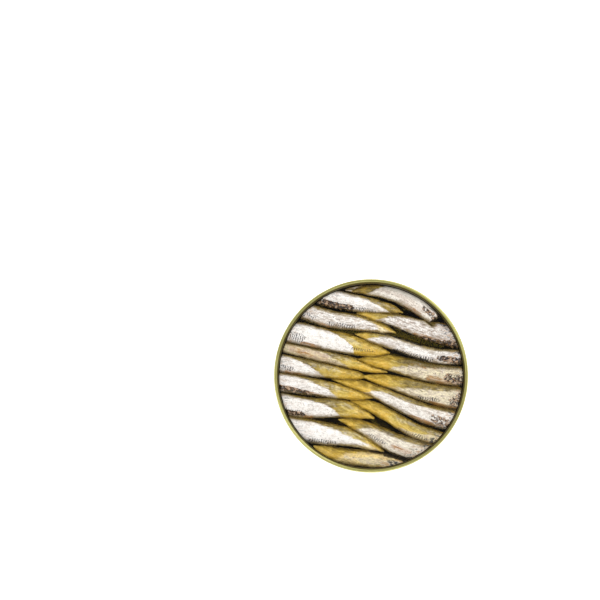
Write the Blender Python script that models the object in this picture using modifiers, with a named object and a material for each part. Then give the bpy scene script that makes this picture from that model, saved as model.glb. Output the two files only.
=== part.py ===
"""Open round tin of small sardines in olive oil. Metres, +Z up, the tin's foot stands on z = 0.

The tin is a drawn can: one turned body with its stepped base, and the rim that the double
seam leaves when the lid is pulled off. Eighteen headless sardines lie side by side in it,
eight with their cut ends at the left wall and ten at the right, their tails interleaved and
dipping under the oil in the middle. Their backs all face +Y, and each one lies over the next,
so that each is trimmed by the one above it.
"""
import math
from collections import namedtuple

import bmesh
import bpy
from mathutils import Vector

MM = 0.001
GAP = 0.3 * MM                    # what touching pieces keep between them

# Tin: the 99 mm round fish can
RIM_RADIUS = 51.25 * MM           # outside of the double seam
TIN_HEIGHT = 26.0 * MM
SHEET = 0.5 * MM                  # steel, with its lacquer
WALL_RADIUS = 50.2 * MM           # outside of the body wall
CORNER_RADIUS = 2.2 * MM          # between wall and base
FOOT_WIDTH = 1.6 * MM             # flat ring that the tin stands on
PANEL_LIFT = 1.0 * MM             # base panel above the foot
PANEL_SLOPE = 1.2 * MM
DISC_RADIUS = 31.0 * MM           # lowered middle of the panel
DISC_DROP = 0.4 * MM
SEAM_LENGTH = 3.0 * MM            # height of the seam outside
SEAM_THICKNESS = 0.75 * MM        # its skirt
SEAM_ROUND = 0.8 * MM             # radius over its top
BODY_HOOK_BELOW_TOP = 1.0 * MM    # top of the body wall, inside the seam
CHUCK_WALL_DEPTH = 4.4 * MM       # inner wall of the rim, down to where the lid tore off
TURN_STEPS = 64

# Filling
OIL_LEVEL = 21.0 * MM
FISH_REACH = 48.6 * MM            # cut ends stop here, short of the rim's inner wall
CUT_END_TOP = 23.4 * MM           # top of the flanks at the wall
FLANK_ROLL = math.radians(13)     # backs lie lower than bellies
PLUMPNESS = 0.78                  # thickness of a fish against its depth
TAIL_HALF_WIDTH = 0.9 * MM
TAPER_POWER = 0.6
DIP_POWER = 2.2
OVERSHOOT = -0.16                 # where a fish is begun, past the wall that trims its cut end
TAIL_REACH = 0.006                # of its length, that a cutter is made past a fish's tail
SECTION_SIDES = 9
SECTION_SQUARENESS = 2.5          # 2 is an ellipse, more is squarer
STATIONS = 10

# Sardine: angle of its cut end round the wall in degrees, tail tip across and up the tin,
# bow of its spine and its sway from one side to the other, greatest width, fullness (how
# far along it keeps its width), lift of its flank, and how deep its tail dips, all in mm.
# begins is the place along it where it was cut, for one that ends short of the wall
Sardine = namedtuple(
    "Sardine", "name cut_angle tail_x tail_y bow sway width fullness lift dip begins",
    defaults=(OVERSHOOT,))
SARDINES = (
    Sardine("sardine_right_1", 32.8, -9.5, 45.2, 5.2, -0.7, 8.8, 2.2, 0.0, 3.0, 0.155),
    Sardine("sardine_right_0", 66.0, -13.5, 46.0, 1.0, 0.0, 6.0, 3.0, -1.4, 1.0),
    Sardine("sardine_left_1", 119.5, 17.2, 33.8, 0.0, -0.6, 11.2, 1.3, 0.2, 3.6),
    Sardine("sardine_right_2", 25.3, -7.5, 33.7, 0.0, -0.8, 13.2, 1.0, 0.1, 3.4),
    Sardine("sardine_left_2", 135.0, 13.5, 23.1, 0.1, -1.0, 9.8, 2.9, -0.1, 3.8),
    Sardine("sardine_right_3", 12.0, -8.5, 22.5, -1.5, -1.3, 8.2, 4.0, 0.0, 3.0),
    Sardine("sardine_left_3", 151.0, 10.2, 12.4, 0.0, 0.0, 12.2, 3.3, 0.3, 5.2),
    Sardine("sardine_right_4", 0.0, -6.9, 9.1, 0.0, -0.9, 11.0, 3.2, -0.2, 4.6),
    Sardine("sardine_left_4", 161.0, 8.7, 2.1, 0.2, -0.2, 6.8, 5.5, -0.7, 3.4),
    Sardine("sardine_right_5", -14.0, -4.8, 0.1, -0.2, -0.6, 12.8, 1.3, -0.1, 4.8),
    Sardine("sardine_left_5", 171.5, -1.4, -0.4, -0.2, 0.0, 10.2, 1.6, 0.1, 5.4),
    Sardine("sardine_right_6", -28.5, -21.0, -1.5, 0.4, -1.4, 12.2, 1.0, 0.0, 5.4),
    Sardine("sardine_left_6", 183.0, 1.5, -11.3, 0.0, 0.0, 10.6, 1.9, 0.1, 5.0),
    Sardine("sardine_right_7", -42.5, -11.0, -12.8, 0.2, -1.3, 8.4, 3.0, -1.1, 4.0),
    Sardine("sardine_left_7", 197.0, 1.7, -22.4, 1.6, -1.3, 11.6, 2.9, 0.3, 4.4),
    Sardine("sardine_right_8", -52.5, -17.4, -22.8, -1.4, -1.4, 14.2, 1.0, -0.1, 4.0),
    Sardine("sardine_left_8", 213.0, 6.9, -40.0, 2.0, -1.0, 14.0, 1.4, 0.2, 4.2),
    Sardine("sardine_right_9", -72.5, -30.6, -37.0, -1.1, 0.8, 9.6, 4.0, -2.1, 1.2),
)
NEIGHBOURS = 4                    # fish before it in the row that may lie on one


def clear_scene():
    """Removes what the start file holds."""
    for item in list(bpy.data.objects):
        bpy.data.objects.remove(item, do_unlink=True)


def make_collection(name):
    """A new collection in the scene."""
    group = bpy.data.collections.new(name)
    bpy.context.scene.collection.children.link(group)
    return group


def make_material(name, colour, metallic, roughness, transmission=0.0):
    """A Principled material."""
    material = bpy.data.materials.new(name)
    material.use_nodes = True
    shader = material.node_tree.nodes["Principled BSDF"]
    shader.inputs["Base Color"].default_value = (*colour, 1.0)
    shader.inputs["Metallic"].default_value = metallic
    shader.inputs["Roughness"].default_value = roughness
    shader.inputs["Transmission Weight"].default_value = transmission
    return material


def add_object(name, mesh, group, material):
    """An object for a mesh, in its collection, with its material and smooth shading."""
    item = bpy.data.objects.new(name, mesh)
    group.objects.link(item)
    mesh.materials.append(material)
    mesh.shade_smooth()
    mesh.set_sharp_from_angle(angle=math.radians(50))
    return item


def arc(centre_r, centre_z, radius, start, end, steps):
    """Points (r, z) round a centre, from one angle in degrees to another."""
    points = []
    for step in range(steps + 1):
        angle = math.radians(start + (end - start) * step / steps)
        points.append((centre_r + radius * math.cos(angle), centre_z + radius * math.sin(angle)))
    return points


def turned(name, profile, closed, group, material):
    """Turns a profile of (r, z) points, its outer side first and downwards, into a solid."""
    mesh = bpy.data.meshes.new(name)
    count = len(profile)
    edges = [(index, index + 1) for index in range(count - 1)]
    if closed:
        edges.append((count - 1, 0))
    mesh.from_pydata([(r, 0.0, z) for r, z in profile], edges, [])
    item = add_object(name, mesh, group, material)
    screw = item.modifiers.new("Turn", "SCREW")
    screw.axis = "Z"
    screw.steps = TURN_STEPS
    screw.render_steps = TURN_STEPS
    screw.use_merge_vertices = True
    screw.merge_threshold = 0.00001
    screw.use_smooth_shade = True
    return item


def body_profile():
    """The drawn body: up the inside of its panel, foot and wall, and down the outside."""
    wall_top = TIN_HEIGHT - BODY_HOOK_BELOW_TOP
    corner_r = WALL_RADIUS - CORNER_RADIUS
    foot_r = corner_r - FOOT_WIDTH
    panel_r = foot_r - PANEL_SLOPE
    disc_z = PANEL_LIFT - DISC_DROP
    outside = [(WALL_RADIUS, wall_top)]
    outside += arc(corner_r, CORNER_RADIUS, CORNER_RADIUS, 0, -90, 4)
    outside += [(foot_r, 0.0), (panel_r, PANEL_LIFT), (DISC_RADIUS + DISC_DROP, PANEL_LIFT)]
    outside += [(DISC_RADIUS, disc_z), (0.0, disc_z)]
    inside = [(0.0, disc_z + SHEET), (DISC_RADIUS, disc_z + SHEET)]
    inside += [(DISC_RADIUS + DISC_DROP, PANEL_LIFT + SHEET), (panel_r, PANEL_LIFT + SHEET)]
    inside += [(foot_r, SHEET)]
    inside += arc(corner_r, CORNER_RADIUS, CORNER_RADIUS - SHEET, -90, 0, 4)
    inside += [(WALL_RADIUS - SHEET, wall_top)]
    return inside + outside


def rim_profile():
    """The double seam over the body wall, and the inner wall that the torn lid leaves."""
    slot_outer = RIM_RADIUS - SEAM_THICKNESS
    slot_inner = WALL_RADIUS - SHEET - GAP
    slot_top = TIN_HEIGHT - BODY_HOOK_BELOW_TOP + GAP
    skirt_foot = TIN_HEIGHT - SEAM_LENGTH
    inner_foot = TIN_HEIGHT - CHUCK_WALL_DEPTH
    inner_face = slot_inner - SHEET
    crown_z = TIN_HEIGHT - SEAM_ROUND
    crown_r = RIM_RADIUS - SEAM_ROUND
    points = arc(crown_r, crown_z, SEAM_ROUND, 90, 0, 3)
    points += [(RIM_RADIUS, skirt_foot + SHEET), (RIM_RADIUS - SHEET / 2, skirt_foot)]
    points += [(slot_outer, skirt_foot), (slot_outer, slot_top), (slot_inner, slot_top)]
    points += [(slot_inner, inner_foot), (inner_face, inner_foot)]
    points += [(inner_face, crown_z - SEAM_ROUND)]
    points += arc(crown_r, crown_z, SEAM_ROUND, 180, 90, 3)[:-1]
    return points


def spine(fish, t):
    """The fish's spine at t, 0 at its cut end and 1 at its tail, and the side its back is on."""
    angle = math.radians(fish.cut_angle)
    cut = Vector((math.cos(angle), math.sin(angle))) * (FISH_REACH + 2 * GAP)
    tail = Vector((fish.tail_x, fish.tail_y)) * MM
    along = (tail - cut).normalized()
    side = Vector((-along.y, along.x))
    if side.y < 0:
        side.negate()
    inside = max(t, 0.0)
    bend = fish.bow * 4 * inside * (1 - inside) + fish.sway * math.sin(2 * math.pi * inside)
    slope = fish.bow * 4 * (1 - 2 * inside) + fish.sway * 2 * math.pi * math.cos(2 * math.pi * inside)
    if t < 0:
        bend = slope * t
    back = (side - along * slope * MM / (tail - cut).length).normalized()
    return cut + (tail - cut) * t + side * bend * MM, back


def squared(value):
    """A sine or cosine for an oval with fuller shoulders."""
    return math.copysign(abs(value) ** (2 / SECTION_SQUARENESS), value)


def section(fish, t, grow):
    """Points round the fish at t: an oval laid over, its back lower than its belly."""
    centre, back = spine(fish, t)
    inside = min(max(t, 0.0), 1.0)
    half_width = TAIL_HALF_WIDTH + (fish.width * MM / 2 - TAIL_HALF_WIDTH) * (
        1 - inside ** fish.fullness) ** TAPER_POWER
    half_thick = PLUMPNESS * half_width
    top = CUT_END_TOP + (fish.lift - fish.dip * inside ** DIP_POWER) * MM
    middle = top - half_thick
    points = []
    for index in range(SECTION_SIDES):
        angle = 2 * math.pi * (index + 0.5) / SECTION_SIDES
        across = (half_width + grow) * squared(math.cos(angle))
        rise = (half_thick + grow) * squared(math.sin(angle))
        over = across * math.cos(FLANK_ROLL) + rise * math.sin(FLANK_ROLL)
        up = rise * math.cos(FLANK_ROLL) - across * math.sin(FLANK_ROLL)
        flat = centre + back * over
        points.append(Vector((flat.x, flat.y, middle + up)))
    return points


def stations(begins):
    """Where sections stand: at the beginning, then closer together towards the tail."""
    inner = [(index / (STATIONS - 2)) ** 0.8 for index in range(STATIONS - 1)]
    return [begins] + [t for t in inner if t > begins]


def loft(name, fish, grow, group, material):
    """The whole fish before trimming, grown on every side by a distance."""
    mesh = bpy.data.meshes.new(name)
    build = bmesh.new()
    rings = []
    for t in stations(fish.begins):
        reach = t + TAIL_REACH if t == 1.0 and grow else t
        rings.append([build.verts.new(point) for point in section(fish, reach, grow)])
    for ring, following in zip(rings, rings[1:]):
        for index in range(SECTION_SIDES):
            after = (index + 1) % SECTION_SIDES
            build.faces.new((ring[index], ring[after], following[after], following[index]))
    build.faces.new(rings[0])
    build.faces.new(rings[-1])
    bmesh.ops.recalc_face_normals(build, faces=build.faces)
    build.to_mesh(mesh)
    build.free()
    return add_object(name, mesh, group, material)


def cylinder(name, radius, low, high, group, material):
    """An upright round block."""
    mesh = bpy.data.meshes.new(name)
    build = bmesh.new()
    bmesh.ops.create_cone(build, cap_ends=True, segments=TURN_STEPS, radius1=radius, radius2=radius,
                          depth=high - low)
    bmesh.ops.translate(build, verts=build.verts, vec=(0.0, 0.0, (low + high) / 2))
    build.to_mesh(mesh)
    build.free()
    return add_object(name, mesh, group, material)


def carve(item, cutter, operation):
    """Cuts an object by another and keeps the result as its mesh."""
    cut = item.modifiers.new("Cut", "BOOLEAN")
    cut.operation = operation
    cut.object = cutter
    cut.solver = "EXACT"
    shape = bpy.context.evaluated_depsgraph_get()
    mesh = bpy.data.meshes.new_from_object(item.evaluated_get(shape))
    item.modifiers.remove(cut)
    old = item.data
    item.data = mesh
    bpy.data.meshes.remove(old)


def keep_largest_piece(item):
    """Drops the loose scraps that trimming leaves and cleans what is kept."""
    build = bmesh.new()
    build.from_mesh(item.data)
    bmesh.ops.remove_doubles(build, verts=build.verts, dist=0.00001)
    bmesh.ops.dissolve_degenerate(build, edges=build.edges, dist=0.00001)
    left = set(build.verts)
    pieces = []
    while left:
        reached = {left.pop()}
        edge_of_reach = set(reached)
        while edge_of_reach:
            vert = edge_of_reach.pop()
            for edge in vert.link_edges:
                other = edge.other_vert(vert)
                if other in left:
                    left.discard(other)
                    reached.add(other)
                    edge_of_reach.add(other)
        pieces.append(reached)
    pieces.sort(key=len, reverse=True)
    for scrap in pieces[1:]:
        bmesh.ops.delete(build, geom=list(scrap), context="VERTS")
    build.to_mesh(item.data)
    build.free()


def build_tin(group):
    """The tin's body and its rim."""
    lacquer = make_material("gold_lacquered_steel", (0.62, 0.60, 0.28), 0.7, 0.3)
    turned("tin_body", body_profile(), False, group, lacquer)
    turned("lid_rim", rim_profile(), True, group, lacquer)


def build_filling(group, cutters):
    """The sardines, each trimmed by the wall and by those above it, and the oil round them."""
    skin = make_material("sardine_skin", (0.72, 0.68, 0.58), 0.1, 0.3)
    oil_look = make_material("olive_oil", (0.70, 0.50, 0.06), 0.0, 0.05, 0.9)
    wall = cylinder("wall_cutter", FISH_REACH, 0.0, TIN_HEIGHT, cutters, skin)
    grown = []
    for index, fish in enumerate(SARDINES):
        item = loft(fish.name, fish, 0.0, group, skin)
        carve(item, wall, "INTERSECT")
        for above in grown[max(0, index - NEIGHBOURS):]:
            carve(item, above, "DIFFERENCE")
        keep_largest_piece(item)
        grown.append(loft(fish.name + "_cutter", fish, GAP, cutters, skin))
    floor = PANEL_LIFT + SHEET + GAP
    oil = cylinder("olive_oil", WALL_RADIUS - SHEET - GAP, floor, OIL_LEVEL, group, oil_look)
    for cutter in grown:
        carve(oil, cutter, "DIFFERENCE")
    keep_largest_piece(oil)


def main():
    """Builds the tin and its filling, then removes the cutters."""
    clear_scene()
    group = make_collection("sardine_tin")
    cutters = make_collection("cutters")
    build_tin(group)
    build_filling(group, cutters)
    for cutter in list(cutters.objects):
        bpy.data.objects.remove(cutter, do_unlink=True)


main()
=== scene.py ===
"""Open round tin of small sardines in olive oil: the looks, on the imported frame."""
from __future__ import annotations

import logging
import math
from collections.abc import Callable
from dataclasses import dataclass, field
from enum import Enum
from typing import ClassVar
import bpy
import numpy as np
from mathutils import Matrix, Vector, noise


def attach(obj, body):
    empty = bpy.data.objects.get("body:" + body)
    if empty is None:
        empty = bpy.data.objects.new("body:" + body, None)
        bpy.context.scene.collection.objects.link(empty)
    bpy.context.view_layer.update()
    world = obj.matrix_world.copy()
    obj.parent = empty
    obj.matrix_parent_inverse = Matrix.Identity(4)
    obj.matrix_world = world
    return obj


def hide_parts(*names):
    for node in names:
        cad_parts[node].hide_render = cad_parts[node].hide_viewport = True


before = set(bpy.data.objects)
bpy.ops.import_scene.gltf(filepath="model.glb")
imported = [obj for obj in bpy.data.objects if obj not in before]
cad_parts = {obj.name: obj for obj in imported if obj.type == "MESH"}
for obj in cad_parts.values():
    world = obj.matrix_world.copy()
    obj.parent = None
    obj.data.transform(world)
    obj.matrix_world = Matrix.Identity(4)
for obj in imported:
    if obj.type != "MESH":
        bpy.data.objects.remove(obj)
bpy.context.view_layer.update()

MM = 0.001
BODY = "root"
log = logging.getLogger("sardine_tin")


# Shared tools

def linear(hex_colour: str) -> tuple[float, float, float, float]:
    """Turns an sRGB hex colour to the linear values that a shader takes.

    Args:
        hex_colour: six hex digits, such as "F2ECE3".

    Returns:
        Red, green, blue and a full alpha.
    """
    channels = []
    for start in (0, 2, 4):
        value = int(hex_colour[start:start + 2], 16) / 255
        channels.append(value / 12.92 if value <= 0.04045 else ((value + 0.055) / 1.055) ** 2.4)
    return (channels[0], channels[1], channels[2], 1.0)


def add_node(tree: bpy.types.NodeTree, kind: str, settings: dict[str, object] | None = None,
             values: dict[str | int, object] | None = None,
             links: dict[str | int, bpy.types.NodeSocket] | None = None) -> bpy.types.Node:
    """Adds a node with its settings, socket values and links.

    Args:
        tree: the material's node tree.
        kind: the node's type name.
        settings: attributes of the node.
        values: socket name or number to its value.
        links: socket name or number to the output that feeds it.

    Returns:
        The new node.
    """
    node = tree.nodes.new(kind)
    for name, value in (settings or {}).items():
        setattr(node, name, value)
    for name, value in (values or {}).items():
        node.inputs[name].default_value = value
    for name, output in (links or {}).items():
        tree.links.new(output, node.inputs[name])
    return node


def new_material(name: str) -> tuple[bpy.types.Material, bpy.types.NodeTree, bpy.types.Node]:
    """Starts a node material.

    Args:
        name: the real material's name.

    Returns:
        The material, its node tree and its output node.
    """
    material = bpy.data.materials.new(name)
    material.use_nodes = True
    tree = material.node_tree
    tree.nodes.clear()
    return material, tree, add_node(tree, "ShaderNodeOutputMaterial")


class Amount:
    """A number that varies over a surface, worked out in a material's node tree."""

    def __init__(self, tree: bpy.types.NodeTree, socket: bpy.types.NodeSocket) -> None:
        """Takes the output that carries the number."""
        self.tree = tree
        self.socket = socket

    def joined(self, operation: str, other: Amount | float = 0.0) -> Amount:
        """Works out one sum on it.

        Args:
            operation: the sum's name in Blender.
            other: the sum's second number.

        Returns:
            The result.
        """
        node = add_node(self.tree, "ShaderNodeMath", {"operation": operation}, links={0: self.socket})
        if isinstance(other, Amount):
            self.tree.links.new(other.socket, node.inputs[1])
        else:
            node.inputs[1].default_value = other
        return Amount(self.tree, node.outputs[0])

    def __add__(self, other: Amount | float) -> Amount:
        """It and another together."""
        return self.joined("ADD", other)

    def __sub__(self, other: Amount | float) -> Amount:
        """It less another."""
        return self.joined("SUBTRACT", other)

    def __mul__(self, other: Amount | float) -> Amount:
        """It times another."""
        return self.joined("MULTIPLY", other)

    def fade(self, low: float, high: float, start: float = 0.0, end: float = 1.0) -> Amount:
        """Eases from one value to another as it goes through a range.

        Args:
            low: where the range begins.
            high: where it ends.
            start: the value at low.
            end: the value at high.

        Returns:
            The eased amount.
        """
        node = add_node(self.tree, "ShaderNodeMapRange", {"interpolation_type": "SMOOTHSTEP"},
                        {1: low, 2: high, 3: start, 4: end}, {0: self.socket})
        return Amount(self.tree, node.outputs[0])


def deselect() -> None:
    """Clears the selection, as every piece starts from nothing selected."""
    bpy.ops.object.select_all(action="DESELECT")


def dress(piece: bpy.types.Object, material: bpy.types.Material, slot: str, *nodes: str) -> None:
    """Gives a finished piece its material and its place on the frame.

    Args:
        piece: the finished mesh object.
        material: its material.
        slot: the record's material slot for its finish; not used.
        nodes: the CAD nodes that it replaces.
    """
    piece.data.materials.clear()
    piece.data.materials.append(material)
    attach(piece, BODY)
    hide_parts(*nodes)
    log.info("%s: %d faces, replaces %s", piece.name, len(piece.data.polygons), ", ".join(nodes))


def mark_inner_side(piece: bpy.types.Object, test: Callable[[Vector, Vector], bool]) -> None:
    """Stores where a sheet's inner side is, for its lacquer to read.

    Args:
        piece: the sheet piece.
        test: says so from a vertex's place and normal.
    """
    # The lacquer paints this side dark, as painted shade and a painted reflection.
    store = piece.data.attributes.new("inner_side", "FLOAT", "POINT")
    for vert in piece.data.vertices:
        store.data[vert.index].value = float(test(vert.co, vert.normal))


def turn_on_axis(name: str, profile: list[tuple[float, float]], sides: int, ring: bool) -> bpy.types.Object:
    """Draws a turned sheet piece up from a circle, one extrusion for each point of its profile.

    Args:
        name: the piece's name.
        profile: (radius, height) points; a ring's last point meets its first.
        sides: faces round the axis.
        ring: True for a closed ring, False for a piece that starts and ends on the axis.

    Returns:
        The piece, smooth, with its faces pointing out.
    """
    deselect()
    bpy.ops.mesh.primitive_circle_add(vertices=sides, radius=profile[0][0], fill_type="NOTHING")
    piece = bpy.context.active_object
    piece.name = name
    bpy.ops.object.mode_set(mode="EDIT")
    bpy.ops.mesh.select_all(action="SELECT")
    bpy.ops.transform.translate(value=(0.0, 0.0, profile[0][1]))
    if not ring:
        bpy.ops.mesh.edge_face_add()
        bpy.ops.mesh.poke()
        select_where(piece, lambda co: co.xy.length > profile[0][0] * 0.9)
    for (radius, height), (next_radius, next_height) in zip(profile, profile[1:]):
        bpy.ops.mesh.extrude_edges_move(
            TRANSFORM_OT_translate={"value": (0.0, 0.0, next_height - height)})
        grow = next_radius / radius
        bpy.ops.transform.resize(value=(grow, grow, 1.0), center_override=(0.0, 0.0, next_height))
    if ring:
        bpy.ops.mesh.select_all(action="SELECT")
        bpy.ops.mesh.remove_doubles(threshold=0.00001)
    else:
        bpy.ops.mesh.edge_face_add()
        bpy.ops.mesh.poke()
    bpy.ops.mesh.select_all(action="SELECT")
    bpy.ops.mesh.normals_make_consistent(inside=False)
    bpy.ops.object.mode_set(mode="OBJECT")
    bpy.ops.object.shade_smooth_by_angle(angle=math.radians(40))
    return piece


def select_where(piece: bpy.types.Object, test: Callable[[Vector], bool]) -> None:
    """Selects edges in edit mode.

    Args:
        piece: the piece that is being edited.
        test: says from a vertex's place whether it is in; an edge needs both its ends in.
    """
    bpy.ops.mesh.select_mode(type="VERT")
    bpy.ops.mesh.select_all(action="DESELECT")
    bpy.ops.object.mode_set(mode="OBJECT")
    for vert in piece.data.vertices:
        vert.select = test(vert.co)
    bpy.ops.object.mode_set(mode="EDIT")
    bpy.ops.mesh.select_mode(type="EDGE")


def round_over(centre_r: float, centre_z: float, radius: float, start: float, end: float,
               steps: int) -> list[tuple[float, float]]:
    """Goes round a bend of a turned profile.

    Args:
        centre_r: the bend's centre, its distance from the axis.
        centre_z: the centre's height.
        radius: the bend's radius.
        start: angle of the first point, in degrees.
        end: angle of the last one.
        steps: parts that the bend is drawn in.

    Returns:
        (radius, height) points.
    """
    points = []
    for step in range(steps + 1):
        angle = math.radians(start + (end - start) * step / steps)
        points.append((centre_r + radius * math.cos(angle), centre_z + radius * math.sin(angle)))
    return points


# Finishes

@dataclass(frozen=True)
class GoldLacquer:
    """Gold can lacquer, rolled on tinplate and baked, then drawn.

    The eye sees a pale olive gold with the gloss of metal under a clear coat, slightly
    uneven in depth, with faint drawing lines up the wall. The inner side is painted dark,
    as painted shade and a painted reflection of the dark fish and oil that it faces.
    """
    name: str
    pale: str
    deep: str
    roughness: float
    # Colour of the inner side: painted shade and a painted reflection of the dark fish.
    inner: str
    patch_mm: float = 14.0
    # The real lines are finer than 0.1 mm: they are drawn coarser so that they show.
    line_mm: float = 0.35

    def make(self) -> bpy.types.Material:
        """Builds the material.

        Returns:
            The lacquer, which reads the "inner_side" attribute.
        """
        material, tree, output = new_material(self.name)
        place = add_node(tree, "ShaderNodeTexCoord").outputs["Object"]
        patches = add_node(tree, "ShaderNodeTexNoise", values={"Scale": 1 / (self.patch_mm * MM), "Detail": 3.0},
                           links={"Vector": place})
        stretched = add_node(tree, "ShaderNodeMapping", values={"Scale": (1.0, 1.0, 0.04)},
                             links={"Vector": place})
        lines = add_node(tree, "ShaderNodeTexNoise", values={"Scale": 1 / (self.line_mm * MM), "Detail": 2.0},
                         links={"Vector": stretched.outputs[0]})
        depth = add_node(tree, "ShaderNodeMapRange", values={1: 0.3, 2: 0.7, 3: 0.25, 4: 0.75},
                         links={0: patches.outputs["Fac"]})
        colour = add_node(tree, "ShaderNodeMix", {"data_type": "RGBA"},
                          {6: linear(self.pale), 7: linear(self.deep)}, {0: depth.outputs[0]})
        # Paints the inner side dark, as painted shade and a painted reflection.
        inner_side = add_node(tree, "ShaderNodeAttribute", {"attribute_name": "inner_side"})
        colour = add_node(tree, "ShaderNodeMix", {"data_type": "RGBA"}, {7: linear(self.inner)},
                          {0: inner_side.outputs["Fac"], 6: colour.outputs[2]})
        gloss = add_node(tree, "ShaderNodeMapRange",
                         values={1: 0.3, 2: 0.7, 3: self.roughness, 4: self.roughness + 0.12},
                         links={0: lines.outputs["Fac"]})
        bump = add_node(tree, "ShaderNodeBump", values={"Strength": 0.08, "Distance": 0.02 * MM},
                        links={"Height": lines.outputs["Fac"]})
        shader = add_node(tree, "ShaderNodeBsdfPrincipled",
                          values={"Metallic": 0.85, "Coat Weight": 0.4, "Coat Roughness": 0.12},
                          links={"Base Color": colour.outputs[2], "Roughness": gloss.outputs[0],
                                 "Normal": bump.outputs[0]})
        tree.links.new(shader.outputs[0], output.inputs["Surface"])
        return material


@dataclass(frozen=True)
class SardineSkin:
    """Skin of a small cooked sardine, wet with oil.

    The flank is silver scales that read as pearly white, mottled grey and beige; the back
    is olive and turns golden towards the tail; the belly edge is stained rust and brown,
    dark scutes stand along it in ticks, and where the belly burst the dark insides show.
    """
    # Painted light in this skin: shade beside the fish above, down its sides, at the belly edge, near the wall and
    # low down; painted shadow patches; darker gold towards the back; and pale glints on the folds and grain.
    name: str = "sardine_skin"
    pearl: str = "F3EFE9"
    cream: str = "DCCB9A"
    glint_cream: str = "E8DAAC"
    beige: str = "C2B2A4"
    speck: str = "8C857A"
    crease: str = "6E5A46"
    olive: str = "998132"
    # This dark olive is the back's own colour and also the colour of painted shade.
    olive_dark_and_shade: str = "54461C"
    gold: str = "C8A844"
    # The pale gold is painted highlight on the folds, the deep gold painted shade towards the back.
    gold_glint: str = "E6CE76"
    gold_in_shade: str = "96802F"
    shade: str = "8E7648"
    rust: str = "A9732A"
    pink: str = "B8927C"
    tick: str = "20222E"
    gut: str = "231712"
    gut_pale: str = "B49A80"
    # The darkest colour is painted shadow: lines between fish, low parts and the painted shadow patches.
    shadow_dark: str = "171106"
    # Sizes of the mottling, in mm: broad shades, folds of skin, lost scales, spots and grain.
    broad_mm: float = 2.4
    fold_mm: float = 1.2
    scale_mm: float = 0.9
    speck_mm: float = 0.75
    grain_mm: float = 0.42
    streak_mm: float = 0.6
    hair_mm: float = 0.3
    blob_mm: float = 1.5
    tick_mm: float = 1.2

    def make(self) -> bpy.types.Material:
        """Builds the material.

        Returns:
            The skin, which reads the attributes that each fish carries.
        """
        material, tree, output = new_material(self.name)

        def stored(name: str) -> list[Amount]:
            """Reads what a fish carries.

            Args:
                name: the attribute's name.

            Returns:
                Its three amounts.
            """
            read = add_node(tree, "ShaderNodeAttribute", {"attribute_name": name})
            parts = add_node(tree, "ShaderNodeSeparateXYZ", links={0: read.outputs["Vector"]})
            return [Amount(tree, part) for part in parts.outputs]

        def lay(where: Amount, below: str | bpy.types.NodeSocket,
                above: str | bpy.types.NodeSocket) -> bpy.types.NodeSocket:
            """Lays one colour over another.

            Args:
                where: how strongly the upper one covers.
                below: the lower colour, as hex digits or an output.
                above: the upper one.

            Returns:
                The output that carries the result.
            """
            node = add_node(tree, "ShaderNodeMix", {"data_type": "RGBA", "clamp_factor": True},
                            links={0: where.socket})
            for number, colour in ((6, below), (7, above)):
                if isinstance(colour, str):
                    node.inputs[number].default_value = linear(colour)
                else:
                    tree.links.new(colour, node.inputs[number])
            return node.outputs[2]

        def mottle(size_mm: float, stretch: float, detail: float = 2.0, shift: float = 0.0) -> Amount:
            """Spots in the skin's own millimetres.

            Args:
                size_mm: their size.
                stretch: how many times longer they are along the fish.
                detail: how many finer layers they have.
                shift: sets them apart from the other mottling.

            Returns:
                An amount round 0.5.
            """
            skin = add_node(tree, "ShaderNodeMapping",
                            values={"Location": (shift, shift * 1.7, shift * 0.3), "Scale": (1 / stretch, 1.0, 1.0)},
                            links={0: along_skin})
            spots = add_node(tree, "ShaderNodeTexNoise",
                             values={"Scale": 1 / size_mm, "Detail": detail, "Roughness": 0.6},
                             links={"Vector": skin.outputs[0]})
            return Amount(tree, spots.outputs["Fac"])

        along_skin = add_node(tree, "ShaderNodeAttribute", {"attribute_name": "flow"}).outputs["Vector"]
        along, aside, _ = stored("flow")
        from_back, beside, weight = stored("edges")
        from_belly, from_wall, uneven = stored("near")
        ticks_here, rust_here, gut_here = stored("marks")
        olive_here, gold_here, dullness = stored("tones")
        warmth, pink_here, brown_and_shade_here = stored("stains")
        end_here, painted_shadow_here, deep = stored("depths")

        broad = mottle(self.broad_mm, 2.2, 3.0)
        folds = mottle(self.fold_mm, 2.6, shift=91.0)
        spots = mottle(self.speck_mm, 1.6, shift=41.0)
        grain = mottle(self.grain_mm, 1.2, shift=11.0)
        streaks = mottle(self.streak_mm, 7.0, 3.0, shift=23.0)
        hairs = mottle(self.hair_mm, 14.0, shift=57.0)
        blobs = mottle(self.blob_mm, 1.3, shift=71.0)
        cells = add_node(tree, "ShaderNodeTexVoronoi", values={"Scale": 1 / self.scale_mm, "Randomness": 0.8},
                         links={"Vector": along_skin})
        tones = add_node(tree, "ShaderNodeSeparateColor", links={0: cells.outputs["Color"]})
        scales = Amount(tree, tones.outputs[0]) - 0.5

        # The flank: silver scales, dull and creased in places, with pale glints that are painted highlights, and
        # greyer towards its sides as painted shade.
        dull = dullness + (broad - 0.47) * 1.6 + scales * 0.35
        flank = lay(warmth, self.pearl, self.cream)
        flank = lay(dull.fade(-0.1, 1.1), flank, self.beige)
        flank = lay((spots + dullness * 0.05).fade(0.53, 0.7, 0.0, 0.55), flank, self.speck)
        flank = lay(grain.fade(0.54, 0.68, 0.0, 0.5), flank, self.speck)
        flank = lay(streaks.fade(0.48, 0.64) * (dullness * 1.3), flank, self.crease)
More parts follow.
